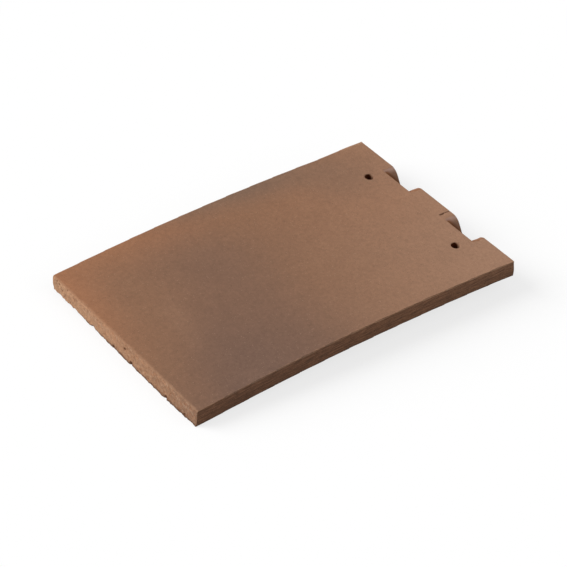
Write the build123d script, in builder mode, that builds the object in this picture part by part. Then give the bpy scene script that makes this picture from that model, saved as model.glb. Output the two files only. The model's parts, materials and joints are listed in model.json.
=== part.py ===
from build123d import *
import os
from math import asin, atan2, cos, degrees, radians, tan

# Clay plain roof tile, fired as one piece and stored lying face up on a level floor.
# X runs across the tile, Y from the tail up to the head, and Z up. All lengths are in millimetres.

# The slab
length = 265.0  # tail to head, in a straight line
width = 165.0
thickness = 12.7
camber_rise = 4.6  # how far the middle of the tile stands above its two ends
tail_arris_radius = 1.6  # worn upper edge of the tail
side_arris_radius = 0.7  # long edges and corners, as they leave the die

# The scoops that the nib press leaves in the face at the head
nib_spacing = 67.6  # middle of one nib to the middle of the other
scoop_mouth_width = 25.2  # between the corners that the shoulder rounds off
scoop_floor_width = 9.8
scoop_depth = 12.4
scoop_reach = 9.5  # from the head back to the straight line where the press stopped
scoop_back_lean = 18.0  # degrees that the back wall leans towards the head as it goes down
shoulder_radius = 9.5
scoop_floor_radius = 6.5
shoulder_lift = 0.15  # the shoulder's curve starts this far above the face, so it prints a line

# The nibs that the pressed clay forms below the head
nib_depth = 10.0  # below the underside
nib_root_width = 28.0  # between the corners that the root rounds off
nib_toe_width = 14.5  # between the corners that the cheeks round off
nib_root_length = 15.0  # along the tile, from the head back to the batten face
nib_batten_draft = 3.0  # degrees that the batten face leans towards the head as it goes down
nib_cheek_radius = 4.5  # rounding of the toe, seen from the head
nib_root_radius = 4.0  # sweep from the underside into the cheeks, seen from the head
nib_root_lift = 0.15  # that sweep starts this far inside the slab
nib_bury = 3.0  # how far the nib is drawn into the slab that carries it
nib_edge_radius = 1.5  # edges of the batten face and of the face at the head

# The nail holes
hole_spacing = 94.0
hole_inset = 23.2  # from the head, along the tile
hole_diameter = 6.0
hole_lip_radius = 0.6  # soft lip that the punch draws in round the hole

# How far a cutting shape runs past the clay that it cuts
overrun = 5.0

# The tile's section is an arch: its radius, and the slope of its underside at the head
camber_radius = (length**2 / 4 + camber_rise**2) / (2 * camber_rise)
end_slope = degrees(asin(length / (2 * camber_radius)))

# Lying face up, the tile rests on the lower edge of its tail and on the toes of its nibs
toe_reach = length - nib_edge_radius
toe_drop = nib_depth / cos(radians(end_slope)) - nib_edge_radius * tan(radians(end_slope))
rest_tilt = degrees(atan2(toe_drop, toe_reach))

# Frames. Seat: X across, Y from the tail's lower edge to the head's, Z square to both.
seat = Plane(Location((0, 0, 0), (rest_tilt, 0, 0)))
# Flank: X along the seat, Y up, seen from the side of the tile
flank = Plane(origin=seat.origin, x_dir=seat.y_dir, z_dir=seat.x_dir)
# Press: on the head's lower edge, X across, Y up, looking along the slope of the clay at the head
press = Plane(seat.location * Location((0, length, 0), (90 - end_slope, 0, 0)))
# Punch: on the face over the nail holes, X across, Y along the seat, Z up out of the clay
hole_along = length - hole_inset
hole_rise = camber_radius * cos(asin((hole_along - length / 2) / camber_radius)) - camber_radius + camber_rise
punch = Plane(seat.location * Location((0, hole_along, thickness + hole_rise)))

# The press tool for one scoop: a bell in head elevation, with a leaning back wall
lip = scoop_mouth_width / 2 + shoulder_radius + overrun
with BuildPart() as scoop:
    with BuildSketch(press.offset(-overrun)):
        with BuildLine():
            bell = FilletPolyline(
                (-lip, thickness + shoulder_lift),
                (-scoop_mouth_width / 2, thickness + shoulder_lift),
                (-scoop_floor_width / 2, thickness - scoop_depth),
                (scoop_floor_width / 2, thickness - scoop_depth),
                (scoop_mouth_width / 2, thickness + shoulder_lift),
                (lip, thickness + shoulder_lift),
                radius=[shoulder_radius, scoop_floor_radius, scoop_floor_radius, shoulder_radius],
            )
            Polyline(
                bell @ 1,
                (lip, thickness + overrun),
                (-lip, thickness + overrun),
                bell @ 0,
            )
        make_face()
    extrude(amount=scoop_reach + overrun + overrun)
    back_above = length - scoop_reach - overrun * tan(radians(scoop_back_lean))
    back_below = length - scoop_reach + (scoop_depth + overrun) * tan(radians(scoop_back_lean))
    with BuildSketch(flank):
        with BuildLine():
            Polyline(
                (length + overrun, thickness + overrun),
                (back_above, thickness + overrun),
                (back_below, thickness - scoop_depth - overrun),
                (length + overrun, thickness - scoop_depth - overrun),
                close=True,
            )
        make_face()
    extrude(amount=lip, both=True, mode=Mode.INTERSECT)

# One nib: the clay pushed down by the press, a bell below the underside with a flat batten face
root = nib_root_width / 2 + nib_root_radius + overrun
with BuildPart() as nib:
    with BuildSketch(press.offset(-overrun)):
        with BuildLine():
            bulge = FilletPolyline(
                (-root, nib_root_lift),
                (-nib_root_width / 2, nib_root_lift),
                (-nib_toe_width / 2, -nib_depth),
                (nib_toe_width / 2, -nib_depth),
                (nib_root_width / 2, nib_root_lift),
                (root, nib_root_lift),
                radius=[nib_root_radius, nib_cheek_radius, nib_cheek_radius, nib_root_radius],
            )
            Polyline(bulge @ 1, (root, nib_bury), (-root, nib_bury), bulge @ 0)
        make_face()
    extrude(amount=nib_root_length + overrun + overrun)
    batten_above = length - nib_root_length - (nib_bury + overrun) * tan(radians(nib_batten_draft))
    batten_below = length - nib_root_length + (nib_depth + overrun) * tan(radians(nib_batten_draft))
    with BuildSketch(flank):
        with BuildLine():
            Polyline(
                (length, nib_bury + overrun),
                (batten_above, nib_bury + overrun),
                (batten_below, -nib_depth - overrun),
                (length, -nib_depth - overrun),
                close=True,
            )
        make_face()
    extrude(amount=root, both=True, mode=Mode.INTERSECT)
    # Round the bell's edge on both end faces, all but its buried top and sides
    ends = nib.faces().sort_by(Axis.Y)
    rims = ends[0].edges().sort_by(Axis.Z)[:-3] + ends[-1].edges().sort_by(Axis.Z)[:-3]
    fillet(rims, radius=nib_edge_radius)

# The tile itself
with BuildPart() as roof_tile:
    # The slab: one arch, drawn from the side and run out across the width
    with BuildSketch(flank):
        with BuildLine():
            ThreePointArc((0, 0), (length / 2, camber_rise), (length, 0))
            Line((length, 0), (length, thickness))
            ThreePointArc((length, thickness), (length / 2, thickness + camber_rise), (0, thickness))
            Line((0, thickness), (0, 0))
        make_face()
    extrude(amount=width / 2, both=True)

    # Worn edge of the tail, then the long edges and corners
    across = roof_tile.edges().filter_by(Axis.X)
    tail_edges = across.sort_by(Axis.Y)[:2]
    fillet(tail_edges.sort_by(Axis.Z)[-1], radius=tail_arris_radius)
    sides = roof_tile.faces().sort_by(Axis.X)
    fillet(sides[0].edges() + sides[-1].edges(), radius=side_arris_radius)

    # The nibs and the scoops above them
    with GridLocations(nib_spacing, nib_spacing, 2, 1):
        add(nib.part)
    with GridLocations(nib_spacing, nib_spacing, 2, 1):
        add(scoop.part, mode=Mode.SUBTRACT)

    # The nail holes, each with its upper rim softened
    with Locations(punch.offset(overrun)):
        with GridLocations(hole_spacing, hole_spacing, 2, 1):
            Hole(radius=hole_diameter / 2, depth=thickness + overrun + overrun)
    rims = roof_tile.edges(Select.LAST).sort_by(Axis.Z)[-2:]
    fillet(rims, radius=hole_lip_radius)

# The finished tile stands on the floor with the middle of its outline over the origin
lie = roof_tile.part.bounding_box()
roof_tile.part = roof_tile.part.moved(Location((-lie.center().X, -lie.center().Y, -lie.min.Z)))
roof_tile.part.label = "roof_tile"

os.makedirs("parts", exist_ok=True)
export_step(roof_tile.part, "parts/roof_tile.step")
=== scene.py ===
import json
import math

import bpy
import numpy as np
from mathutils import Matrix, Vector

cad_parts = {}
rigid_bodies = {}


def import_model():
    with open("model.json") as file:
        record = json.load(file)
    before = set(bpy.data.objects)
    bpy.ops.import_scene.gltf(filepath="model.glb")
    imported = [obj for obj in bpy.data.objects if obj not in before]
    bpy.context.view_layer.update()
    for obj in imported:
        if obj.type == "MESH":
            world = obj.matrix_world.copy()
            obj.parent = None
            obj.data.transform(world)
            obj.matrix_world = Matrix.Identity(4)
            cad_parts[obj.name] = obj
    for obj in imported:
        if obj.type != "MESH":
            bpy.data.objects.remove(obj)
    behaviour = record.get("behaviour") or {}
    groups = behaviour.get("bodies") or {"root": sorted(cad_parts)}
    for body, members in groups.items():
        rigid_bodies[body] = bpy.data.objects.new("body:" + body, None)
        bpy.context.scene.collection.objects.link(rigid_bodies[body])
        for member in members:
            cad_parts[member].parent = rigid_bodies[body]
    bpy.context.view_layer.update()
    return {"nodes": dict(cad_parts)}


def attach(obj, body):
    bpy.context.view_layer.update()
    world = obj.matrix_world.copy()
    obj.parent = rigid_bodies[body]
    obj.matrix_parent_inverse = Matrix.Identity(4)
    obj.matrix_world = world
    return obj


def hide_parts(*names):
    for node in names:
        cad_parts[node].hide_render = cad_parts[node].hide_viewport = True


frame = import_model()

bl_info = {
    "name": "Clay plain roof tile",
    "version": (1, 0, 0),
    "blender": (4, 5, 0),
    "location": "View3D > Sidebar > Roof tile",
    "description": "Dresses a fired clay plain tile: flashed face, cut tail, drawn edges and pressed nibs",
    "category": "Object",
}

MM = 0.001

# The tile's own frame: X across, then along from the tail to the head, then up from the line between
# the two lower ends. It leans back a little, because it lies on its tail and on the toes of its nibs.
LEAN = math.radians(2.156)
FOOT = -132.35 * MM  # the lower edge of the tail, on the row frame's Y
ALONG = Vector((0.0, math.cos(LEAN), math.sin(LEAN)))
UP = Vector((0.0, -math.sin(LEAN), math.cos(LEAN)))

# The tile's sizes
LENGTH = 265.0 * MM
HALF_WIDTH = 82.5 * MM
THICKNESS = 12.7 * MM
CAMBER = 4.6 * MM
TAIL_ARRIS = 1.6 * MM  # rounding of the tail's upper edge
SIDE_ARRIS = 0.8 * MM  # strip that holds the rounding of the long edges
NIB_OFFSET = 33.8 * MM  # middle of the tile to the middle of a nib
SCOOP_REACH = 9.5 * MM  # head to the line where the nib press stopped
HOLE_OFFSET = 47.0 * MM
HOLE_ALONG = LENGTH - 23.2 * MM

# The drying crack: its place across, its reach from the head, how far from the head it is nearly closed,
# the spacing of the cuts that shape it, and its turn
CRACK_ACROSS = 14.2 * MM
CRACK_REACH = 9.4 * MM
CRACK_CLOSED = 5.0 * MM
CRACK_STEP = 0.35 * MM
CRACK_TURN = math.radians(3.0)

# The far lip of each nail hole: which way the punch leaned, how far out the lip lies, how far it was drawn,
# and the reach of the clay that went with it
LIP_LEAN = Vector((-0.76, 0.65, 0.0))
LIP_RADIUS = 3.4 * MM
LIP_DRAW = 1.0 * MM
LIP_REACH = 7.0 * MM

# Corners that moved in the green clay, and the reach of the clay that went with each
FAR_HEAD_MOVE = Vector((-1.9 * MM, 0.0, 0.0))
FAR_HEAD_REACH = 46.0 * MM
NEAR_HEAD_MOVE = ALONG * (0.9 * MM)
NEAR_HEAD_REACH = 9.0 * MM
FAR_FOOT_MOVE = Vector((0.8 * MM, 0.3 * MM, 0.0))
FAR_FOOT_REACH = 5.0 * MM

# Pits in the cut tail: place across, height, reach and depth, in millimetres. More follow by seeded chance.
TAIL_PITS = ((-74.1, 10.6, 0.9, 0.5), (-70.9, 7.2, 0.9, 0.5), (2.3, 8.4, 1.0, 1.0))
MORE_PITS = 14
PIT_RANGES = ((-80, 80), (1.5, 10.5), (0.6, 0.9), (0.2, 0.45))
PIT_SEED = 11
# Chips out of the tail's lower edge: place across, reach and depth, in millimetres
FOOT_CHIPS = (
    (-35.0, 1.3, 0.7), (-9.9, 1.3, 0.8), (10.3, 1.5, 0.9), (49.5, 1.4, 0.8), (69.5, 1.3, 0.7))
CHIP_HEIGHT = 1.3 * MM
# The tail's lower edge: places across in millimetres, with the share of clay worn off or standing proud
FOOT_WORN = (
    (-84, 1.0), (-58, 0.9), (-46, 0.6), (-38, 0.3), (-33, 0.55), (-28, 0.12), (-12, 0.0), (84, 0.0))
FOOT_PROUD = ((-84, 0.0), (-10, 0.0), (8, 0.6), (30, 0.8), (62, 1.0), (78, 0.5), (84, 0.2))

# Grooves that the die draws along the sides: height above the underside and half width in mm, then depth,
# which also sets how much painted shade darkens the groove
DIE_GROOVES = ((11.7, 0.9, 0.14), (9.1, 0.6, 0.07), (5.95, 1.1, 0.2), (3.4, 0.8, 0.1), (1.6, 0.7, 0.1))

# The kiln's marks: the colour, then the middle across and along, the half sizes across and along, all in
# millimetres on the face, the turn in degrees, and the strength. A scratch program fitted them to the
# photograph's colours, with the first five clay colours and the slope towards the paler head, and the
# marks were then rounded.
KILN_MARKS = (
    ("Flash", 0, 85, 150, 60, 0, 0.25),
    ("Flash", 110, 45, 110, 160, 35, 0.45),
    ("Flash", -15, 115, 55, 70, 10, 0.1),
    ("Flash", 65, 45, 115, 45, -5, 0.25),
    ("Blush", -50, -25, 125, 65, -5, 0.8),
    ("Blush", -110, 35, 70, 160, -10, 0.65),
    ("Blush", -60, 215, 105, 160, -30, 0.15),
    ("Smoke", -90, 140, 35, 125, -10, 0.95),
    ("Smoke", -55, 225, 40, 55, -15, 0.4),
    ("Head", 5, 40, 50, 15, -10, 0.15),
    ("Head", 90, 45, 45, 15, -20, 0.1),
)

# The camera of the photograph, and where the lights stand
CAMERA_AT = Vector((1.0126, -0.8638, 1.0422))
CAMERA_AIM = Vector((0.0069, -0.0069, 0.0120))
CAMERA_ROLL = math.radians(4.98)
SENSOR_WIDTH = 36.0
KEY_SIDE = Vector((-0.62, -0.785, 0.0))
BACK_SIDE = Vector((0.62, 0.45, 0.64))
LIGHT_DISTANCE = 2.0
FLOOR_SIZE = 12.0

FACE, TAIL, SIDE, PRESSED, UNDER = range(5)  # the order of the finishes on the tile
WEIGHT_STEPS = 32  # steps in a vertex group's weights
TRIANGLE_LIMIT = 200000


def length(name, description, default, low=0.0):
    """A length, given in millimetres."""
    return bpy.props.FloatProperty(
        name=name, description=description, default=default * MM, min=low * MM, unit="LENGTH", precision=5)


def colour_value(name, description, default):
    """A colour, in linear red, green and blue."""
    return bpy.props.FloatVectorProperty(
        name=name, description=description, default=default, size=3, min=0.0, max=1.0, subtype="COLOR")


class TILE_PG_relief(bpy.types.PropertyGroup):
    """Sizes of the relief that drawing, cutting and firing leave on the clay"""

    grid: length("Grid", "Spacing of the cuts over the whole tile", 1.9, low=0.5)
    swell: length("Swell", "Slow unevenness of the whole slab", 0.5)
    sanding: length("Sanding", "Depth of the sanded relief on the face and the underside", 0.12)
    tearing: length("Tearing", "Depth of the torn relief on the cut tail", 0.5)
    raggedness: length("Raggedness", "How far the tail's lower edge is broken up", 1.6)
    foot_wear: length("Foot wear", "Clay missing from the tail's lower edge at the far corner", 1.8)
    drag: length("Drag", "Depth of the lines that the die draws along the long sides", 0.35)
    pressing: length("Pressing", "Unevenness of the scoops and nibs", 0.6)
    press_shift: length("Press shift", "How far off the middle the nib press stood", 1.5, low=-5.0)
    crack_depth: length("Crack depth", "Depth of the drying crack at the head", 1.3)


class TILE_PG_clay(bpy.types.PropertyGroup):
    """Colours of the fired clay, and of its painted shade and sheen"""

    body: colour_value("Body", "Fired clay in the middle of the face", (0.261, 0.136, 0.078))
    head: colour_value("Head", "Paler clay towards the head", (0.342, 0.194, 0.122))
    flash: colour_value("Flash", "Dark patch where the kiln ran short of air", (0.112, 0.076, 0.067))
    blush: colour_value("Blush", "Orange clay that had the most air", (0.402, 0.173, 0.082))
    smoke: colour_value("Smoke", "Grey smoke marks along the far edge", (0.209, 0.125, 0.083))
    raw: colour_value("Raw", "Open clay of the cut tail and of worn edges", (0.480, 0.277, 0.161))
    # Drawn is the die's skin, made darker than the face partly as painted shade of the long sides
    drawn: colour_value("Drawn", "Clay skin that the die smooths along the long sides", (0.216, 0.098, 0.049))
    under: colour_value("Underside", "Belt side of the tile", (0.300, 0.150, 0.088))
    # Painted sheen: a paler grey over one shoulder of each scoop, standing in for a highlight
    painted_sheen: colour_value(
        "Sheen", "Grey skin that the nib press wipes over one shoulder of each scoop", (0.440, 0.280, 0.220))
    # Dark clay and painted shade: painted shade in the scoop's corner and in the tail's pits and hollows, the
    # clay's own colour in the tail's torn mottle and dark grains
    dark_clay_and_shade: colour_value(
        "Crease", "Dark clay in the corner where the nib press stopped, and in the torn tail",
        (0.235, 0.093, 0.042))
    bore: colour_value("Bore", "Shadowed clay inside the nail holes", (0.075, 0.015, 0.002))
    pit: colour_value("Pits", "Shadowed clay in pits and tears", (0.080, 0.036, 0.018))
    sand: colour_value("Sand", "Pale grains on the sanded faces", (0.480, 0.320, 0.220))


class TILE_PG_stage(bpy.types.PropertyGroup):
    """Floor, light and camera"""

    key: bpy.props.FloatProperty(
        name="Key", description="Strength of the soft light from the tail side", default=3.7, min=0.0)
    softness: bpy.props.FloatProperty(
        name="Softness", description="How wide the lights are, seen from the tile",
        default=math.radians(45.0), subtype="ANGLE")
    height: bpy.props.FloatProperty(
        name="Height", description="How high the key light stands",
        default=math.radians(32.0), subtype="ANGLE")
    fill: bpy.props.FloatProperty(
        name="Fill", description="Strength of the even light all round", default=0.32, min=0.0)
    back: bpy.props.FloatProperty(
        name="Back", description="Strength of the weak light from behind the near side", default=0.5, min=0.0)
    lens: bpy.props.FloatProperty(
        name="Lens", description="Focal length of the camera", default=158.7, min=1.0, unit="CAMERA")


# Picking and shaping

def alone(piece):
    """Makes the piece the only one selected, and active."""
    bpy.ops.object.select_all(action="DESELECT")
    piece.select_set(True)
    bpy.context.view_layer.objects.active = piece


def read(collection, field, width):
    """One field of a mesh collection as an array, a row for each item."""
    values = np.empty(len(collection) * width, np.float32)
    collection.foreach_get(field, values)
    return values.reshape(-1, width) if width > 1 else values


def arch(along):
    """Height of the underside's arch over the line between the tile's two lower ends."""
    return CAMBER * (1.0 - ((along - LENGTH / 2) / (LENGTH / 2)) ** 2)


def in_tile(points):
    """Across, along, and height above the underside, for points in the row frame."""
    offset = points - np.array((0.0, FOOT, 0.0), np.float32)
    along = offset @ np.array(ALONG, np.float32)
    return points[:, 0], along, offset @ np.array(UP, np.float32) - arch(along)


def points_in_tile(piece):
    """Across, along and height of every point of a piece."""
    return in_tile(read(piece.data.vertices, "co", 3))


def faces_in_tile(piece):
    """Across, along, height and normal (across, along, up) of every face."""
    bpy.ops.object.mode_set(mode="OBJECT")
    mesh = piece.data
    normal = read(mesh.polygons, "normal", 3)
    turned = np.stack([
        normal[:, 0],
        normal @ np.array(ALONG, np.float32),
        normal @ np.array(UP, np.float32),
    ], axis=1)
    return (*in_tile(read(mesh.polygons, "center", 3)), turned)


def place(across, along, height):
    """The point of the row frame at a place in the tile's own frame."""
    return Vector((across, FOOT, 0.0)) + ALONG * along + UP * (height + arch(along))


def select(piece, kind, mask):
    """Selects just the vertices or polygons that the mask names, and opens the piece for editing."""
    bpy.ops.object.mode_set(mode="OBJECT")
    for field in ("vertices", "edges", "polygons"):
        items = getattr(piece.data, field)
        items.foreach_set("select", mask if field == kind else np.zeros(len(items), bool))
    bpy.context.tool_settings.mesh_select_mode = (kind == "vertices", False, kind == "polygons")
    bpy.ops.object.mode_set(mode="EDIT")


def cut(piece, direction, places, mask=None):
    """Cuts the faces of the mask, or all of them, with planes square to the direction."""
    if mask is None:
        bpy.ops.object.mode_set(mode="EDIT")
    else:
        select(piece, "polygons", mask)
        bpy.ops.mesh.hide(unselected=True)
    for point in places:
        bpy.ops.mesh.select_all(action="SELECT")
        bpy.ops.mesh.bisect(plane_co=point, plane_no=direction, threshold=1e-6)
    bpy.ops.mesh.reveal(select=False)
    bpy.ops.object.mode_set(mode="OBJECT")


def divide(piece, mask, cuts):
    """Divides the faces of the mask into smaller ones."""
    select(piece, "polygons", mask)
    bpy.ops.mesh.subdivide(number_cuts=cuts, smoothness=0.0)
    bpy.ops.object.mode_set(mode="OBJECT")


def group(piece, name, weights):
    """A vertex group with a weight for every point."""
    made = piece.vertex_groups.new(name=name)
    steps = np.round(np.clip(weights, 0.0, 1.0) * WEIGHT_STEPS).astype(int)
    for step in range(1, WEIGHT_STEPS + 1):
        chosen = np.flatnonzero(steps == step).tolist()
        if chosen:
            made.add(chosen, step / WEIGHT_STEPS, "REPLACE")
    return name


def roughen(piece, name, weights, depth, size=None, middle=0.5, direction="NORMAL", detail=2, run=None):
    """Displaces the weighted points by cloud noise of that size, or evenly without one."""
    alone(piece)
    change = piece.modifiers.new(name, "DISPLACE")
    change.vertex_group = group(piece, name, weights)
    change.strength = depth
    change.mid_level = middle
    change.direction = direction
    if size:
        clouds = bpy.data.textures.new(name, "CLOUDS")
        clouds.noise_scale = size
        clouds.noise_depth = detail
        clouds.noise_basis = "IMPROVED_PERLIN"
        change.texture = clouds
        change.texture_coords = "UV" if run else "LOCAL"
        if run:
            change.uv_layer = run
    bpy.ops.object.modifier_apply(modifier=change.name)
    piece.vertex_groups.remove(piece.vertex_groups[name])


def push(piece, point, move, reach, falloff="SMOOTH"):
    """Moves the nearest point of the mesh, and carries what lies within reach along."""
    bpy.ops.object.mode_set(mode="OBJECT")
    offset = read(piece.data.vertices, "co", 3) - np.array(point, np.float32)
    mask = np.zeros(len(offset), bool)
    mask[np.argmin((offset ** 2).sum(axis=1))] = True
    select(piece, "vertices", mask)
    bpy.ops.transform.translate(
        value=move, use_proportional_edit=True, proportional_edit_falloff=falloff, proportional_size=reach)
    bpy.ops.object.mode_set(mode="OBJECT")


# Building blocks of the finishes

def fill_inputs(tree, node, inputs):
    """Links each input that is given as a socket, and sets any other on the node's socket."""
    for key, value in inputs.items():
        if isinstance(value, bpy.types.NodeSocket):
            tree.links.new(value, node.inputs[key])
        else:
            node.inputs[key].default_value = value


def put(tree, kind, inputs=None, **settings):
    """Adds a node with its settings and inputs."""
    node = tree.nodes.new("ShaderNode" + kind)
    for key, value in settings.items():
        setattr(node, key, value)
    fill_inputs(tree, node, inputs or {})
    return node


def use(tree, kept, inputs):
    """Places a node group in a tree."""
    node = tree.nodes.new("ShaderNodeGroup")
    node.node_tree = kept
    fill_inputs(tree, node, inputs)
    return node.outputs


def reckon(tree, operation, first, second=0.0):
    return put(tree, "Math", {0: first, 1: second}, operation=operation).outputs[0]


def times(tree, first, second):
    return reckon(tree, "MULTIPLY", first, second)


def minus(tree, first, second):
    return reckon(tree, "SUBTRACT", first, second)


def plus(tree, first, second):
    return reckon(tree, "ADD", first, second)


def larger(tree, first, second):
    return reckon(tree, "MAXIMUM", first, second)


def spread(tree, value, low, high, to_low=0.0, to_high=1.0, smooth=True):
    """Maps a value from one range to another, held at both ends."""
    return put(tree, "MapRange", {
        "Value": value, "From Min": low, "From Max": high, "To Min": to_low, "To Max": to_high,
    }, interpolation_type="SMOOTHSTEP" if smooth else "LINEAR").outputs["Result"]


def vector_sum(tree, operation, first, second):
    return put(tree, "VectorMath", {0: first, 1: second}, operation=operation).outputs[0]


def along_axis(tree, vector, axis):
    """How far a vector reaches along an axis."""
    return put(tree, "VectorMath", {0: vector, 1: axis}, operation="DOT_PRODUCT").outputs["Value"]


def scaled(tree, vector, value):
    """A vector or colour times a number."""
    return put(tree, "VectorMath", {0: vector, "Scale": value}, operation="SCALE").outputs[0]


def lay(tree, mask, under, over):
    """Lays one colour over another where the mask says."""
    return put(tree, "Mix", {0: mask, 6: under, 7: over}, data_type="RGBA", blend_type="MIX").outputs[2]


def noise(tree, vector, size, detail=2.0, rough=0.5, warp=0.0):
    return put(tree, "TexNoise", {
        "Vector": vector, "Scale": 1.0 / size, "Detail": detail, "Roughness": rough, "Distortion": warp,
    }).outputs


def kept_value(tree, name):
    """A value that the mesh keeps for each of its points."""
    return put(tree, "Attribute", attribute_name=name).outputs["Fac"]


def new_group(name, inputs, outputs):
    """A shader node group with those sockets, and its two end nodes."""
    tree = bpy.data.node_groups.new(name, "ShaderNodeTree")
    for label, kind in inputs:
        tree.interface.new_socket(name=label, in_out="INPUT", socket_type="NodeSocket" + kind)
    for label, kind in outputs:
        tree.interface.new_socket(name=label, in_out="OUTPUT", socket_type="NodeSocket" + kind)
    return tree, tree.nodes.new("NodeGroupInput").outputs, tree.nodes.new("NodeGroupOutput").inputs


# What the finishes share

def patch(tree, vector, across, along, half_across, half_along, turn):
    """A soft patch of the kiln's colour: its middle and half sizes in millimetres, turned on the face."""
    middle = place(across * MM, along * MM, THICKNESS)
    local = put(tree, "Mapping", {
        "Vector": vector,
        "Location": (middle.x, middle.y, 0.0),
        "Rotation": (0.0, 0.0, math.radians(turn)),
        "Scale": (half_across * MM, half_along * MM, 10.0),
    }, vector_type="TEXTURE").outputs[0]
    ball = put(tree, "TexGradient", {"Vector": local}, gradient_type="SPHERICAL")
    return spread(tree, ball.outputs["Fac"], 0.05, 0.9)


def make_kiln_colour():
    """The colour that firing leaves, the same through face and edges: paler at the head, dark flashes,
    an orange blush at the tail, grey smoke along the far edge and two pale streaks."""
    tree, given, result = new_group(
        "kiln_colour",
        [("Vector", "Vector"), ("Body", "Color"), ("Head", "Color"), ("Flash", "Color"),
         ("Blush", "Color"), ("Smoke", "Color")],
        [("Color", "Color")])
    drift = noise(tree, given["Vector"], 40 * MM, detail=4.0, rough=0.55)["Color"]
    drift = scaled(tree, vector_sum(tree, "SUBTRACT", drift, (0.5, 0.5, 0.5)), 16 * MM)
    wandering = vector_sum(tree, "ADD", given["Vector"], drift)
    slope = along_axis(tree, wandering, (0.52, 1.0, 0.0))
    paler = spread(tree, slope, FOOT + 102 * MM, FOOT + 330 * MM)
    colour = lay(tree, paler, given["Body"], given["Head"])
    for name in ("Flash", "Blush", "Smoke", "Head"):
        bare = 1.0
        for over, *shape, strength in KILN_MARKS:
            if over == name:
                mark = times(tree, patch(tree, wandering, *shape), strength)
                bare = times(tree, bare, minus(tree, 1.0, mark))
        colour = lay(tree, minus(tree, 1.0, bare), colour, given[name])
    clouds = noise(tree, given["Vector"], 14 * MM, detail=5.0, rough=0.6)["Fac"]
    value = spread(tree, clouds, 0.25, 0.75, 0.95, 1.05, smooth=False)
    tree.links.new(scaled(tree, colour, value), result["Color"])
    return tree


def make_sand_grain():
    """Sand in and on the clay: a tint that goes up and down, pale grains, dark grains, and their height."""
    tree, given, result = new_group(
        "sand_grain", [("Vector", "Vector"), ("Size", "Float")],
        [("Tint", "Float"), ("Pale", "Float"), ("Dark", "Float"), ("Height", "Float")])
    scale = reckon(tree, "DIVIDE", 1.0, given["Size"])
    fine = put(tree, "TexNoise", {
        "Vector": given["Vector"], "Scale": scale, "Detail": 3.0, "Roughness": 0.65}).outputs["Fac"]
    coarse = put(tree, "TexNoise", {
        "Vector": given["Vector"], "Scale": times(tree, scale, 0.24),
        "Detail": 2.0, "Roughness": 0.5}).outputs["Fac"]
    grains = put(tree, "TexVoronoi", {
        "Vector": given["Vector"], "Scale": times(tree, scale, 0.7)}, feature="F1")
    chance = put(tree, "SeparateColor", {0: grains.outputs["Color"]})
    near = spread(tree, grains.outputs["Distance"], 0.45, 0.15)
    pale = times(tree, near, spread(tree, chance.outputs[0], 0.90, 0.97))
    dark = times(tree, near, spread(tree, chance.outputs[1], 0.92, 0.98))
    tint = plus(tree, times(tree, fine, 0.65), times(tree, coarse, 0.35))
    height = plus(tree, tint, times(tree, pale, 0.35))
    height = minus(tree, height, times(tree, dark, 0.3))
    for name, value in (("Tint", tint), ("Pale", pale), ("Dark", dark), ("Height", height)):
        tree.links.new(value, result[name])
    return tree


def make_pits():
    """Small open pits, where grit tore out or air was trapped: a mask that is 1 in a pit, and its depth."""
    tree, given, result = new_group(
        "open_pits", [("Vector", "Vector"), ("Size", "Float"), ("Share", "Float")],
        [("Mask", "Float"), ("Height", "Float")])
    bent = scaled(tree, noise(tree, given["Vector"], 1.2 * MM, detail=2.0)["Color"], 0.7 * MM)
    bent = vector_sum(tree, "ADD", given["Vector"], bent)
    cells = put(tree, "TexVoronoi", {
        "Vector": bent, "Scale": reckon(tree, "DIVIDE", 0.3, given["Size"])}, feature="F1")
    chance = put(tree, "SeparateColor", {0: cells.outputs["Color"]}).outputs[2]
    rim = times(tree, chance, 0.3)
    inside = spread(tree, minus(tree, cells.outputs["Distance"], rim), 0.06, -0.06)
    open_pit = reckon(tree, "GREATER_THAN", chance, minus(tree, 1.0, given["Share"]))
    mask = times(tree, inside, open_pit)
    tree.links.new(mask, result["Mask"])
    tree.links.new(times(tree, mask, -1.0), result["Height"])
    return tree


def make_tile_place():
    """Where a point lies on the tile: across, along from the tail, and its height above the underside."""
    tree, given, result = new_group(
        "tile_place", [("Vector", "Vector")], [("Across", "Float"), ("Along", "Float"), ("Level", "Float")])
    offset = vector_sum(tree, "SUBTRACT", given["Vector"], (0.0, FOOT, 0.0))
    along = along_axis(tree, offset, ALONG)
    above = along_axis(tree, offset, UP)
    share = reckon(tree, "DIVIDE", minus(tree, along, LENGTH / 2), LENGTH / 2)
    rise = times(tree, minus(tree, 1.0, times(tree, share, share)), CAMBER)
    tree.links.new(put(tree, "SeparateXYZ", {0: offset}).outputs["X"], result["Across"])
    tree.links.new(along, result["Along"])
    tree.links.new(minus(tree, above, rise), result["Level"])
    return tree


def make_die_lines(tile_place):
    """Lines that a die or a belt draws along the clay: they follow the arch from tail to head."""
    tree, given, result = new_group(
        "die_lines", [("Vector", "Vector"), ("Spacing", "Float")], [("Line", "Float")])
    spot = use(tree, tile_place, {"Vector": given["Vector"]})
    long_way = times(tree, spot["Along"], 0.075)
    stretched = put(tree, "CombineXYZ", {0: spot["Across"], 1: long_way, 2: spot["Level"]}).outputs[0]
    lines = put(tree, "TexNoise", {
        "Vector": stretched, "Scale": reckon(tree, "DIVIDE", 1.0, given["Spacing"]),
        "Detail": 4.0, "Roughness": 0.6}).outputs["Fac"]
    tree.links.new(lines, result["Line"])
    return tree


def make_shared():
    """The node groups that the finishes share."""
    tile_place = make_tile_place()
    return {"kiln": make_kiln_colour(), "grain": make_sand_grain(), "pits": make_pits(),
            "place": tile_place, "lines": make_die_lines(tile_place)}


def rgba(colour):
    return (*colour, 1.0)


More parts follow.
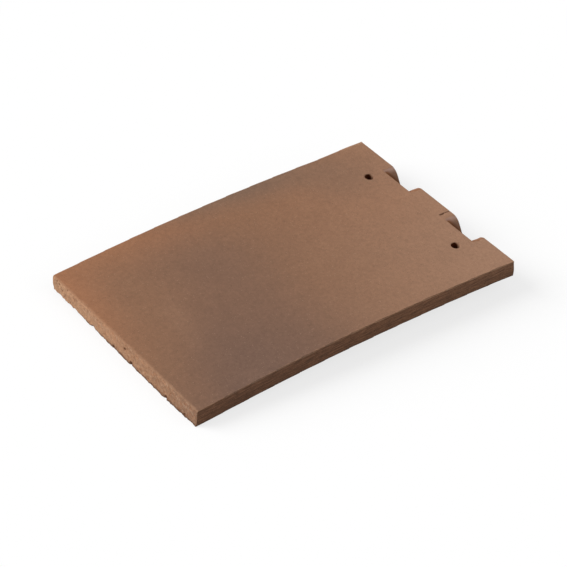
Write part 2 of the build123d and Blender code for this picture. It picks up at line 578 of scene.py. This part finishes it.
def begin(name):
    """A material with an empty tree, its object coordinates and its shader."""
    material = bpy.data.materials.new(name)
    material.use_nodes = True
    tree = material.node_tree
    tree.nodes.clear()
    shader = put(tree, "BsdfPrincipled", {"Specular IOR Level": 0.22, "Diffuse Roughness": 0.6})
    put(tree, "OutputMaterial", {"Surface": shader.outputs[0]})
    spot = put(tree, "TexCoord").outputs["Object"]
    return material, tree, shader, spot


def dress(tree, shader, colour, roughness, height, depth, strength):
    """Gives the shader its colour, its roughness and its relief."""
    bump = put(tree, "Bump", {"Height": height, "Distance": depth, "Strength": strength})
    fill_inputs(tree, shader, {"Base Color": colour, "Roughness": roughness, "Normal": bump.outputs[0]})


def kiln(tree, kept, spot, clay):
    return use(tree, kept["kiln"], {
        "Vector": spot, "Body": rgba(clay.body), "Head": rgba(clay.head), "Flash": rgba(clay.flash),
        "Blush": rgba(clay.blush), "Smoke": rgba(clay.smoke)})["Color"]


def grained(tree, kept, spot, colour, clay, size, tint, pale, dark, deep):
    """The colour with its grain, and the grain's height. Deep is the colour of the dark grains."""
    grain = use(tree, kept["grain"], {"Vector": spot, "Size": size})
    value = spread(tree, grain["Tint"], 0.3, 0.7, 1.0 - tint, 1.0 + tint, smooth=False)
    colour = scaled(tree, colour, value)
    colour = lay(tree, times(tree, grain["Pale"], pale), colour, rgba(clay.sand))
    colour = lay(tree, times(tree, grain["Dark"], dark), colour, rgba(deep))
    return colour, grain["Height"]


# The five finishes

def fired_face(kept, clay):
    """The weathered face: kiln colours, worn pale along the tail and the long edges."""
    material, tree, shader, spot = begin("fired_face")
    where = use(tree, kept["place"], {"Vector": spot})
    worn = times(tree, noise(tree, spot, 3.0 * MM, detail=3.0)["Fac"], 2.4 * MM)
    inset = minus(tree, HALF_WIDTH, reckon(tree, "ABSOLUTE", where["Across"]))
    tail_arris = spread(tree, minus(tree, worn, where["Along"]), -1.2 * MM, 0.9 * MM, 0.0, 0.42)
    long_arris = spread(tree, minus(tree, worn, inset), 0.0, 1.2 * MM, 0.0, 0.35)
    colour = kiln(tree, kept, spot, clay)
    colour = lay(tree, larger(tree, tail_arris, long_arris), colour, rgba(clay.raw))
    colour, height = grained(
        tree, kept, spot, colour, clay, 0.6 * MM, tint=0.2, pale=0.45, dark=0.55, deep=clay.pit)
    # Painted shade in the drying crack
    colour = lay(tree, times(tree, kept_value(tree, "hollow"), 0.9), colour, rgba(clay.pit))
    roughness = spread(tree, height, 0.3, 0.8, 0.82, 0.95, smooth=False)
    dress(tree, shader, colour, roughness, height, 0.2 * MM, 0.8)
    return material


def cut_tail(kept, clay):
    """The cut ends: open clay, torn and pitted, paler towards the far side, with painted shade in the pits
    and hollows and along the foot.
    """
    material, tree, shader, spot = begin("cut_tail")
    where = use(tree, kept["place"], {"Vector": spot})
    # Paler towards the far side of the tail
    paler_far_side = spread(tree, where["Across"], HALF_WIDTH, -HALF_WIDTH, 0.2, 0.92, smooth=False)
    colour = lay(tree, paler_far_side, kiln(tree, kept, spot, clay), rgba(clay.raw))
    mottle = noise(tree, spot, 2.2 * MM, detail=3.0, rough=0.6)["Color"]
    mottle = put(tree, "SeparateColor", {0: mottle}).outputs
    colour = lay(tree, spread(tree, mottle[0], 0.48, 0.68, 0.0, 0.4), colour, rgba(clay.blush))
    colour = lay(tree, spread(tree, mottle[1], 0.5, 0.7, 0.0, 0.4), colour, rgba(clay.sand))
    torn = noise(tree, spot, 4.0 * MM, detail=5.0, rough=0.65)["Fac"]
    colour = lay(tree, spread(tree, torn, 0.5, 0.3, 0.0, 0.5), colour, rgba(clay.dark_clay_and_shade))
    colour = scaled(tree, colour, spread(tree, torn, 0.3, 0.7, 0.9, 1.09, smooth=False))
    colour, height = grained(
        tree, kept, spot, colour, clay, 0.6 * MM, tint=0.42, pale=0.5, dark=0.85, deep=clay.dark_clay_and_shade)
    pits = use(tree, kept["pits"], {"Vector": spot, "Size": 0.6 * MM, "Share": 0.09})
    # Painted shade in the pits, in the pushed-in pits and chips, and along the foot
    colour = lay(tree, times(tree, pits["Mask"], 0.75), colour, rgba(clay.dark_clay_and_shade))
    hollow = kept_value(tree, "hollow")
    colour = lay(tree, spread(tree, hollow, 0.1, 0.6, 0.0, 0.9), colour, rgba(clay.dark_clay_and_shade))
    ragged = times(tree, noise(tree, spot, 2.6 * MM, detail=3.0)["Fac"], 2.4 * MM)
    foot = spread(tree, minus(tree, where["Level"], ragged), 1.2 * MM, -0.6 * MM, 0.0, 0.75)
    deepest = larger(tree, foot, spread(tree, hollow, 0.5, 0.9, 0.0, 0.8))
    colour = lay(tree, deepest, colour, rgba(clay.pit))
    roughness = spread(tree, height, 0.3, 0.8, 0.85, 0.97, smooth=False)
    dress(tree, shader, colour, roughness, plus(tree, height, pits["Height"]), 0.35 * MM, 0.9)
    return material


def drawn_side(kept, clay):
    """The long sides: the die's skin with its lines and grooves, calmer on the far side, with painted shade
    low down and in the grooves.
    """
    material, tree, shader, spot = begin("drawn_side")
    where = use(tree, kept["place"], {"Vector": spot})
    level = where["Level"]
    # The die's skin, darker than the face partly as painted shade
    colour = lay(tree, 0.7, kiln(tree, kept, spot, clay), rgba(clay.drawn))
    line = use(tree, kept["lines"], {"Vector": spot, "Spacing": 0.8 * MM})["Line"]
    calm = spread(tree, where["Across"], -HALF_WIDTH, HALF_WIDTH, 0.35, 1.0)
    streak = spread(tree, line, 0.36, 0.64, -0.34, 0.3, smooth=False)
    value = plus(tree, times(tree, streak, calm), 1.0)
    # Painted shade: darker towards the bottom of each side, and darker still in the lowest 2 mm
    value = times(tree, value, spread(tree, level, 0.0, THICKNESS, 0.95, 1.13, smooth=False))
    value = times(tree, value, spread(tree, level, 0.2 * MM, 2.0 * MM, 0.72, 1.0))
    waver = put(tree, "TexNoise", {
        "W": where["Along"], "Scale": 30.0, "Detail": 1.0}, noise_dimensions="1D").outputs["Fac"]
    wavering = plus(tree, level, times(tree, minus(tree, waver, 0.5), 0.8 * MM))
    groove = 0.0
    for groove_level, half, depth in DIE_GROOVES:
        beside = reckon(tree, "ABSOLUTE", minus(tree, wavering, groove_level * MM))
        groove = plus(tree, groove, spread(tree, beside, 0.0, half * MM, depth, 0.0))
    # Painted shade: each groove darkens the colour as well as the relief
    value = times(tree, value, minus(tree, 1.0, groove))
    colour, grain = grained(
        tree, kept, spot, scaled(tree, colour, value), clay, 0.5 * MM,
        tint=0.34, pale=0.4, dark=0.65, deep=clay.pit)
    pits = use(tree, kept["pits"], {"Vector": spot, "Size": 0.5 * MM, "Share": 0.05})
    colour = lay(tree, times(tree, pits["Mask"], 0.45), colour, rgba(clay.pit))
    roughness = spread(tree, line, 0.3, 0.7, 0.75, 0.92, smooth=False)
    height = plus(tree, times(tree, grain, 0.5), times(tree, line, calm))
    height = minus(tree, height, times(tree, groove, 4.0))
    dress(tree, shader, colour, roughness, plus(tree, height, pits["Height"]), 0.25 * MM, 0.8)
    return material


def pressed_clay(kept, clay):
    """Scoops, nibs and nail holes: smooth clay, with a painted sheen over one shoulder of each scoop, painted
    shade in the scoop's corner and over its other shoulder, and darker painted shade inside the holes."""
    material, tree, shader, spot = begin("pressed_clay")
    where = use(tree, kept["place"], {"Vector": spot})
    smear = noise(tree, spot, 4.0 * MM, detail=3.0, warp=0.6)["Fac"]
    colour = kiln(tree, kept, spot, clay)
    colour = scaled(tree, colour, spread(tree, smear, 0.3, 0.7, 0.86, 1.06, smooth=False))
    colour, height = grained(
        tree, kept, spot, colour, clay, 0.45 * MM, tint=0.07, pale=0.2, dark=0.4, deep=clay.pit)

    depth = minus(tree, THICKNESS, where["Level"])
    beside = minus(tree, where["Across"], NIB_OFFSET)
    beside = put(tree, "Math", {0: beside, 1: NIB_OFFSET, 2: -NIB_OFFSET}, operation="WRAP").outputs[0]
    at_head = spread(tree, where["Along"], LENGTH - 16 * MM, LENGTH - 12 * MM)
    # Painted sheen: paler grey over one shoulder of each scoop, just below the face, standing in for a
    # highlight
    sheen_mask = times(tree, at_head, spread(tree, depth, 2.4 * MM, 0.6 * MM, 0.0, 0.8))
    sheen_mask = times(tree, sheen_mask, spread(tree, depth, 0.0, 0.5 * MM))
    sheen_mask = times(tree, sheen_mask, spread(tree, beside, 0.0, -8.0 * MM))
    colour = lay(tree, sheen_mask, colour, rgba(clay.painted_sheen))

    # Painted shade: darker deep in the corner where the nib press stopped, and over the other shoulder of
    # each scoop
    from_back = minus(tree, where["Along"], LENGTH - SCOOP_REACH)
    corner = minus(tree, from_back, times(tree, depth, 0.83))
    corner = spread(tree, corner, 0.6 * MM, 4.6 * MM, 0.95, 0.0)
    corner = times(tree, corner, spread(tree, depth, 0.2 * MM, 1.4 * MM))
    corner = larger(tree, corner, spread(tree, beside, 2.0 * MM, 8.0 * MM, 0.0, 0.55))
    corner = times(tree, corner, at_head)
    colour = lay(tree, corner, colour, rgba(clay.dark_clay_and_shade))
    # Painted shade inside the nail holes, darker deeper down
    hole_shade = spread(tree, kept_value(tree, "bore"), 0.005, 0.06)
    colour = lay(tree, hole_shade, colour, rgba(clay.bore))

    roughness = spread(tree, smear, 0.3, 0.7, 0.45, 0.62, smooth=False)
    roughness = larger(tree, roughness, spread(tree, depth, 0.2 * MM, 2.0 * MM, 0.88, 0.4))
    roughness = larger(tree, roughness, larger(tree, hole_shade, corner))
    shader.inputs["Specular IOR Level"].default_value = 0.15
    dress(tree, shader, colour, roughness, height, 0.1 * MM, 0.6)
    return material


def belt_side(kept, clay):
    """The underside, as the belt leaves it: sandy, with faint lines and a few pits."""
    material, tree, shader, spot = begin("belt_side")
    colour = lay(tree, 0.6, kiln(tree, kept, spot, clay), rgba(clay.under))
    line = use(tree, kept["lines"], {"Vector": spot, "Spacing": 2.2 * MM})["Line"]
    colour = scaled(tree, colour, spread(tree, line, 0.3, 0.7, 0.93, 1.07, smooth=False))
    colour, height = grained(
        tree, kept, spot, colour, clay, 0.7 * MM, tint=0.12, pale=0.45, dark=0.5, deep=clay.pit)
    pits = use(tree, kept["pits"], {"Vector": spot, "Size": 1.1 * MM, "Share": 0.03})
    colour = lay(tree, times(tree, pits["Mask"], 0.5), colour, rgba(clay.pit))
    roughness = spread(tree, height, 0.3, 0.8, 0.85, 0.97, smooth=False)
    height = plus(tree, plus(tree, height, times(tree, line, 0.7)), pits["Height"])
    dress(tree, shader, colour, roughness, height, 0.3 * MM, 0.8)
    return material


# The tile

def start_tile():
    """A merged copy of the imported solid, with its flat faces joined up."""
    alone(frame["nodes"]["roof_tile"])
    bpy.ops.object.duplicate()
    piece = bpy.context.view_layer.objects.active
    bpy.ops.object.parent_clear(type="CLEAR_KEEP_TRANSFORM")
    for key in list(piece.keys()):
        del piece[key]
    piece.name = piece.data.name = "clay_tile"
    piece.data.materials.clear()
    bpy.ops.object.mode_set(mode="EDIT")
    bpy.ops.mesh.select_all(action="SELECT")
    bpy.ops.mesh.remove_doubles(threshold=1e-6)
    bpy.ops.mesh.dissolve_limited(angle_limit=0.002)
    bpy.ops.mesh.customdata_custom_splitnormals_clear()
    bpy.ops.object.mode_set(mode="OBJECT")
    return piece


def refine(piece, grid):
    """Cuts the tile into an even grid, closer on the tail and along the edges."""
    half = math.ceil(HALF_WIDTH / grid)
    beside = [end * (HALF_WIDTH - inset * MM) for end in (-1, 1) for inset in (0.73, 0.9)]
    cut(piece, (1, 0, 0), [(i * grid, 0, 0) for i in range(-half, half + 1)] + [(x, 0, 0) for x in beside])
    count = math.ceil(LENGTH / grid)
    cut(piece, ALONG, [place(0, i * grid, 0) for i in range(1, count)] + [place(0, 1.66 * MM, 0)])
    across, along, height, normal = faces_in_tile(piece)
    upright = (np.abs(normal[:, 2]) < 0.5) & (height > -0.5 * MM)
    edges = upright & (
        (np.abs(across) > HALF_WIDTH - 1 * MM) | (along < 1 * MM) | (along > LENGTH - 1 * MM))
    levels = np.arange(grid, THICKNESS + CAMBER, grid)
    cut(piece, UP, [Vector((0, FOOT, 0)) + UP * level for level in levels], edges)
    across, along, height, normal = faces_in_tile(piece)
    divide(piece, along < TAIL_ARRIS, 2)
    across, along, height, normal = faces_in_tile(piece)
    divide(piece, (np.abs(across) > HALF_WIDTH - SIDE_ARRIS) & (along > 2 * MM), 1)


def true_up(piece):
    """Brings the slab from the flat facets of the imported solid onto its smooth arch."""
    points = read(piece.data.vertices, "co", 3)
    across, along, height = in_tile(points)
    inside = (along > 2 * MM) & (np.abs(across) < HALF_WIDTH - SIDE_ARRIS)
    lift = np.zeros(len(points))
    for level, half in ((THICKNESS, height > THICKNESS / 2), (0.0, height <= THICKNESS / 2)):
        flat = np.flatnonzero(inside & (np.abs(height - level) < 0.09 * MM))
        flat = flat[np.argsort(along[flat])]
        lift = np.where(half, np.interp(along, along[flat], level - height[flat]), lift)
    points = points + lift[:, None] * np.array(UP)
    piece.data.vertices.foreach_set("co", points.astype(np.float32).ravel())
    piece.data.update()


def give_finishes(piece, finishes):
    """Gives every face the finish of its zone."""
    for finish in finishes:
        piece.data.materials.append(finish)
    across, along, height, normal = faces_in_tile(piece)
    zone = np.where(normal[:, 2] > 0.0, FACE, UNDER)
    zone[(np.abs(across) > HALF_WIDTH - 0.75 * MM) & (np.abs(normal[:, 0]) > 0.75)] = SIDE
    zone[(along < 1.8 * MM) & (normal[:, 1] < -0.75)] = TAIL
    zone[(along > LENGTH - 0.5 * MM) & (normal[:, 1] > 0.75)] = TAIL
    scoop = (along > LENGTH - 12 * MM) & (np.abs(np.abs(across) - NIB_OFFSET) < 22 * MM)
    zone[scoop & (height < THICKNESS - 0.06 * MM) & (height > -0.1 * MM) & (normal[:, 2] > -0.5)
         & (normal[:, 1] > -0.75) & (along < LENGTH - 0.02 * MM)] = PRESSED
    zone[(along > LENGTH - 17 * MM) & (height < -0.06 * MM)] = PRESSED
    reach = np.hypot(np.abs(across) - HOLE_OFFSET, along - HOLE_ALONG)
    zone[(reach < 3.8 * MM) & (np.abs(normal[:, 2]) < 0.93)] = PRESSED
    piece.data.polygons.foreach_set("material_index", zone.astype(np.int32))


def mark_bores(piece):
    """Keeps how deep each point lies in a nail hole, as the attribute bore, for the painted shade in the
    holes, less on the wall that is lit.
    """
    across, along, height = points_in_tile(piece)
    beside, beyond = across - np.copysign(HOLE_OFFSET, across), along - HOLE_ALONG
    reach = np.hypot(beside, beyond)
    lit = np.clip(1.4 * (0.45 * beside + 0.9 * beyond) / np.maximum(reach, MM), 0.0, 1.0)
    depth = np.where(reach < 3.5 * MM, np.clip(1.0 - height / THICKNESS, 0.0, 1.0), 0.0)
    bore = (depth * (1.0 - 0.87 * lit)).astype(np.float32)
    piece.data.attributes.new("bore", "FLOAT", "POINT").data.foreach_set("value", bore)


def soften_shoulders(piece):
    """Rounds off the line where each scoop's shoulders leave the face."""
    across, along, height = points_in_tile(piece)
    beside = np.abs(np.abs(across) - NIB_OFFSET)
    band = (along > LENGTH - 8.5 * MM) & (along < LENGTH - 0.5 * MM) & (height > THICKNESS - 1.5 * MM)
    select(piece, "vertices", band & (beside > 10 * MM) & (beside < 23 * MM))
    bpy.ops.mesh.vertices_smooth(factor=0.5, repeat=6)
    bpy.ops.object.mode_set(mode="OBJECT")


def draw_holes(piece):
    """The punch came out leaning, and it drew the far lip of each nail hole a little longer."""
    for end in (-1, 1):
        lip = place(end * HOLE_OFFSET, HOLE_ALONG, THICKNESS) + LIP_LEAN * LIP_RADIUS
        push(piece, lip, LIP_LEAN * LIP_DRAW, LIP_REACH)


def spread_head(piece, shift):
    """The nib press stood off the middle, and it spread the clay a little at the corners of the head."""
    across, along, height = points_in_tile(piece)
    ramp = np.clip((along - LENGTH + 36 * MM) / (25 * MM), 0.0, 1.0)
    inner = np.clip((80 * MM - np.abs(across)) / (15 * MM), 0.0, 1.0)
    weights = ramp * ramp * (3.0 - 2.0 * ramp) * inner
    roughen(piece, "press_shift", weights, shift, middle=0.0, direction="X")
    push(piece, place(-HALF_WIDTH, LENGTH, THICKNESS / 2), FAR_HEAD_MOVE, FAR_HEAD_REACH)
    push(piece, place(HALF_WIDTH, LENGTH, 0.3 * THICKNESS), NEAR_HEAD_MOVE, NEAR_HEAD_REACH)


def profile(across, stations):
    """A share that goes evenly from one place across the tile to the next."""
    places, shares = zip(*stations)
    return np.interp(across, np.array(places) * MM, shares)


def lay_run(piece, name, across, along, height):
    """A map that runs along the tile, stretched as the die's lines are, with the two sides apart."""
    layer = piece.data.uv_layers.new(name=name)
    index = np.empty(len(piece.data.loops), np.int32)
    piece.data.loops.foreach_get("vertex_index", index)
    route = np.stack([along / (45 * MM) + np.sign(across) * 7.0, height / (1.4 * MM)], axis=1)
    layer.data.foreach_set("uv", route[index].astype(np.float32).ravel())


def weather(piece, relief):
    """The relief of drawing, cutting, pressing and firing, from the slowest to the finest."""
    across, along, height = points_in_tile(piece)
    everywhere = np.ones(len(across))
    tail = np.clip(1.0 - along / TAIL_ARRIS, 0.0, 1.0)
    torn = tail * np.clip((HALF_WIDTH - np.abs(across)) / (1.5 * MM), 0.15, 1.0)
    side = np.clip((np.abs(across) - HALF_WIDTH + SIDE_ARRIS) / SIDE_ARRIS, 0.0, 1.0)
    pressed = (along > LENGTH - 16 * MM) & (np.abs(np.abs(across) - NIB_OFFSET) < 20 * MM)
    pressed = pressed & (height < THICKNESS - 0.3 * MM) & (along < LENGTH - 0.3 * MM)
    flat = (1.0 - tail) * (1.0 - side) * (1.0 - pressed)
    arris = np.clip(1.0 - np.hypot(along, THICKNESS - height) / (2.4 * MM), 0.0, 1.0) ** 0.5
    foot = np.clip(1.0 - np.hypot(along, height) / (2.2 * MM), 0.0, 1.0)
    low = np.clip(1.0 - np.maximum(along, height) / (4.5 * MM), 0.0, 1.0)
    worn, proud = low * profile(across, FOOT_WORN), low * profile(across, FOOT_PROUD)

    lay_run(piece, "run", across, along, height)
    roughen(piece, "swell", everywhere, relief.swell, 70 * MM, detail=1, direction="Z")
    roughen(piece, "sanding", flat, relief.sanding, 3.0 * MM)
    roughen(piece, "drag", side * (1.0 - tail), relief.drag, 1.0, run="run")
    roughen(piece, "pressing", pressed.astype(float), relief.pressing, 7 * MM, detail=1)
    roughen(piece, "tear", torn, relief.tearing, 1.4 * MM)
    roughen(piece, "heave", torn, relief.tearing, 9 * MM, detail=1)
    roughen(piece, "arris_wear", arris, relief.tearing, 2.4 * MM, middle=0.7)
    roughen(piece, "foot_wear", worn, relief.foot_wear, middle=0.0, direction="Z")
    roughen(piece, "foot_lip", proud, -0.55 * relief.foot_wear, middle=0.0, direction="Y")
    roughen(piece, "foot_break", foot, relief.raggedness, 3.2 * MM, middle=0.42, direction="Z")
    roughen(piece, "foot_burr", foot, -relief.raggedness, 4.5 * MM, middle=0.45, direction="Y")
    piece.data.uv_layers.remove(piece.data.uv_layers["run"])


def mark_hollows(piece, before):
    """Keeps how far each point went in, as the attribute hollow, for the painted shade in pits, chips and
    cracks.
    """
    moved = np.linalg.norm(read(piece.data.vertices, "co", 3) - before, axis=1) / (0.7 * MM)
    kept = piece.data.attributes.get("hollow") or piece.data.attributes.new("hollow", "FLOAT", "POINT")
    deepest = np.maximum(moved, read(kept.data, "value", 1))
    kept.data.foreach_set("value", np.clip(deepest, 0.0, 1.0).astype(np.float32))


def crack_head(piece, depth):
    """The drying crack that runs in from the head."""
    across, along, height, normal = faces_in_tile(piece)
    near = (np.abs(across - CRACK_ACROSS) < 3 * MM) & (along > LENGTH - 12 * MM)
    near = near & (height > THICKNESS - 3 * MM)
    square = Vector((math.cos(CRACK_TURN), 0, 0)) + ALONG * math.sin(CRACK_TURN)
    start = place(CRACK_ACROSS, LENGTH, THICKNESS)
    cut(piece, square, [start + square * (step * CRACK_STEP) for step in range(-2, 3)], near)
    points = read(piece.data.vertices, "co", 3)
    across, along, height = in_tile(points)
    offset = np.abs((points - np.array(start, np.float32)) @ np.array(square, np.float32))
    top = (along > LENGTH - CRACK_REACH) & (height > THICKNESS - 0.9 * MM)
    inner = along < LENGTH - CRACK_CLOSED
    middle, beside = offset < 0.03 * MM, np.abs(offset - CRACK_STEP) < 0.03 * MM
    for line, share in ((middle & inner, 1.0), (middle & ~inner, 0.35), (beside & inner, 0.6)):
        select(piece, "vertices", line & top)
        bpy.ops.transform.translate(value=-UP * (share * depth))
        bpy.ops.object.mode_set(mode="OBJECT")
    mark_hollows(piece, points)


def pit_tail(piece):
    """A worn far corner at the foot of the cut tail, open pits in it and chips out of its foot."""
    push(piece, place(-HALF_WIDTH, 0.0, 1.0 * MM), FAR_FOOT_MOVE, FAR_FOOT_REACH)
    before = read(piece.data.vertices, "co", 3)
    dice = np.random.default_rng(PIT_SEED)
    pits = list(TAIL_PITS)
    for number in range(MORE_PITS):
        pits.append([dice.uniform(low, high) for low, high in PIT_RANGES])
    for across, height, reach, depth in pits:
        push(piece, place(across * MM, 0.0, height * MM), ALONG * (depth * MM), reach * MM, "SPHERE")
    for across, reach, depth in FOOT_CHIPS:
        push(piece, place(across * MM, 0.0, CHIP_HEIGHT), ALONG * (depth * MM), reach * MM, "SPHERE")
    mark_hollows(piece, before)


def shade(piece):
    """Shades the piece smooth, with crisp arrises."""
    alone(piece)
    bpy.ops.object.shade_smooth_by_angle(angle=math.radians(40.0))
    crisp = piece.modifiers.new("crisp_arrises", "WEIGHTED_NORMAL")
    crisp.keep_sharp = True
    bpy.ops.object.modifier_apply(modifier=crisp.name)


class TILE_OT_make_tile(bpy.types.Operator):
    """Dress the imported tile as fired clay"""

    bl_idname = "roof_tile.make_tile"
    bl_label = "Clay tile"

    def execute(self, context):
        relief, clay = context.scene.roof_tile_relief, context.scene.roof_tile_clay
        piece = start_tile()
        refine(piece, relief.grid)
        true_up(piece)
        kept = make_shared()
        finishes = (fired_face, cut_tail, drawn_side, pressed_clay, belt_side)
        give_finishes(piece, [finish(kept, clay) for finish in finishes])
        mark_bores(piece)
        soften_shoulders(piece)
        draw_holes(piece)
        spread_head(piece, relief.press_shift)
        weather(piece, relief)
        crack_head(piece, relief.crack_depth)
        pit_tail(piece)
        shade(piece)
        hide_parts("roof_tile")
        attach(piece, "root")
        piece.data.calc_loop_triangles()
        triangles = len(piece.data.loop_triangles)
        if triangles >= TRIANGLE_LIMIT:
            raise RuntimeError(f"the tile has {triangles} triangles: widen the grid")
        return {"FINISHED"}


# The stage

def seen_rays(tree):
    """1 for rays that show the background: from the camera, mirrored or let through."""
    path = put(tree, "LightPath").outputs
    seen = larger(tree, path["Is Camera Ray"], path["Is Glossy Ray"])
    return larger(tree, seen, path["Is Transmission Ray"])


def floor_paint():
    """White to the eye with a light shadow, and a quieter grey to the light that it throws back."""
    material = bpy.data.materials.new("floor_paint")
    material.use_nodes = True
    tree = material.node_tree
    tree.nodes.clear()
    white = put(tree, "Emission", {"Color": (1, 1, 1, 1), "Strength": 1.0})
    paint = put(tree, "BsdfDiffuse", {"Color": (0.96, 0.96, 0.96, 1)})
    shown = put(tree, "MixShader", {0: 0.26, 1: white.outputs[0], 2: paint.outputs[0]})
    quiet = put(tree, "BsdfDiffuse", {"Color": (0.3, 0.3, 0.3, 1)})
    both = put(tree, "MixShader", {0: seen_rays(tree), 1: quiet.outputs[0], 2: shown.outputs[0]})
    put(tree, "OutputMaterial", {"Surface": both.outputs[0]})
    return material


def light_world(fill):
    """Even light all round, and plain white where the background is seen."""
    world = bpy.data.worlds.new("studio")
    bpy.context.scene.world = world
    world.use_nodes = True
    tree = world.node_tree
    tree.nodes.clear()
    even = put(tree, "Background", {"Color": (1, 1, 1, 1), "Strength": fill})
    white = put(tree, "Background", {"Color": (1, 1, 1, 1), "Strength": 1.0})
    both = put(tree, "MixShader", {0: seen_rays(tree), 1: even.outputs[0], 2: white.outputs[0]})
    put(tree, "OutputWorld", {"Surface": both.outputs[0]})


def add_light(name, towards, energy, softness):
    """A soft sun that stands in that direction from the tile."""
    bpy.ops.object.light_add(type="SUN", location=towards * LIGHT_DISTANCE)
    light = bpy.context.active_object
    light.name = name
    light.rotation_euler = towards.to_track_quat("Z", "Y").to_euler()
    light.data.energy = energy
    light.data.angle = softness


def add_camera(lens):
    """The camera, placed as the photograph's was."""
    bpy.ops.object.camera_add()
    camera = bpy.context.active_object
    camera.name = "camera"
    aimed = (CAMERA_AT - CAMERA_AIM).to_track_quat("Z", "Y").to_matrix()
    turned = aimed @ Matrix.Rotation(CAMERA_ROLL, 3, "Z")
    camera.matrix_world = Matrix.Translation(CAMERA_AT) @ turned.to_4x4()
    camera.data.lens = lens
    camera.data.sensor_width = SENSOR_WIDTH
    camera.data.clip_start, camera.data.clip_end = 0.01, 50.0
    return camera


class TILE_OT_make_stage(bpy.types.Operator):
    """Set the floor, the soft light and the camera"""

    bl_idname = "roof_tile.make_stage"
    bl_label = "Stage"

    def execute(self, context):
        stage = context.scene.roof_tile_stage
        bpy.ops.object.select_all(action="DESELECT")
        bpy.ops.mesh.primitive_plane_add(size=FLOOR_SIZE, location=(0, 0, 0))
        floor = context.active_object
        floor.name = "floor"
        floor.data.materials.append(floor_paint())
        light_world(stage.fill)
        key_from = KEY_SIDE * math.cos(stage.height) + Vector((0.0, 0.0, math.sin(stage.height)))
        add_light("key_light", key_from, stage.key, stage.softness)
        add_light("back_light", BACK_SIDE, stage.back, stage.softness)
        context.scene.camera = add_camera(stage.lens)
        context.scene.view_settings.view_transform = "Standard"
        return {"FINISHED"}


class TILE_PT_sidebar(bpy.types.Panel):
    """Roof tile pieces, sizes and colours"""

    bl_idname = "TILE_PT_sidebar"
    bl_label = "Roof tile"
    bl_space_type = "VIEW_3D"
    bl_region_type = "UI"
    bl_category = "Roof tile"

    def draw(self, context):
        layout = self.layout
        for operator, values in (
            (TILE_OT_make_tile, (context.scene.roof_tile_relief, context.scene.roof_tile_clay)),
            (TILE_OT_make_stage, (context.scene.roof_tile_stage,)),
        ):
            layout.operator(operator.bl_idname)
            for held in values:
                for name in held.bl_rna.properties.keys():
                    if name not in ("rna_type", "name"):
                        layout.prop(held, name)


CLASSES = (
    TILE_PG_relief, TILE_PG_clay, TILE_PG_stage, TILE_OT_make_tile, TILE_OT_make_stage, TILE_PT_sidebar)


def register():
    for kind in CLASSES:
        bpy.utils.register_class(kind)
    bpy.types.Scene.roof_tile_relief = bpy.props.PointerProperty(type=TILE_PG_relief)
    bpy.types.Scene.roof_tile_clay = bpy.props.PointerProperty(type=TILE_PG_clay)
    bpy.types.Scene.roof_tile_stage = bpy.props.PointerProperty(type=TILE_PG_stage)


def unregister():
    del bpy.types.Scene.roof_tile_stage
    del bpy.types.Scene.roof_tile_clay
    del bpy.types.Scene.roof_tile_relief
    for kind in reversed(CLASSES):
        bpy.utils.unregister_class(kind)


def main():
    register()
    bpy.ops.roof_tile.make_tile()
    bpy.ops.roof_tile.make_stage()


if __name__ == "__main__":
    main()
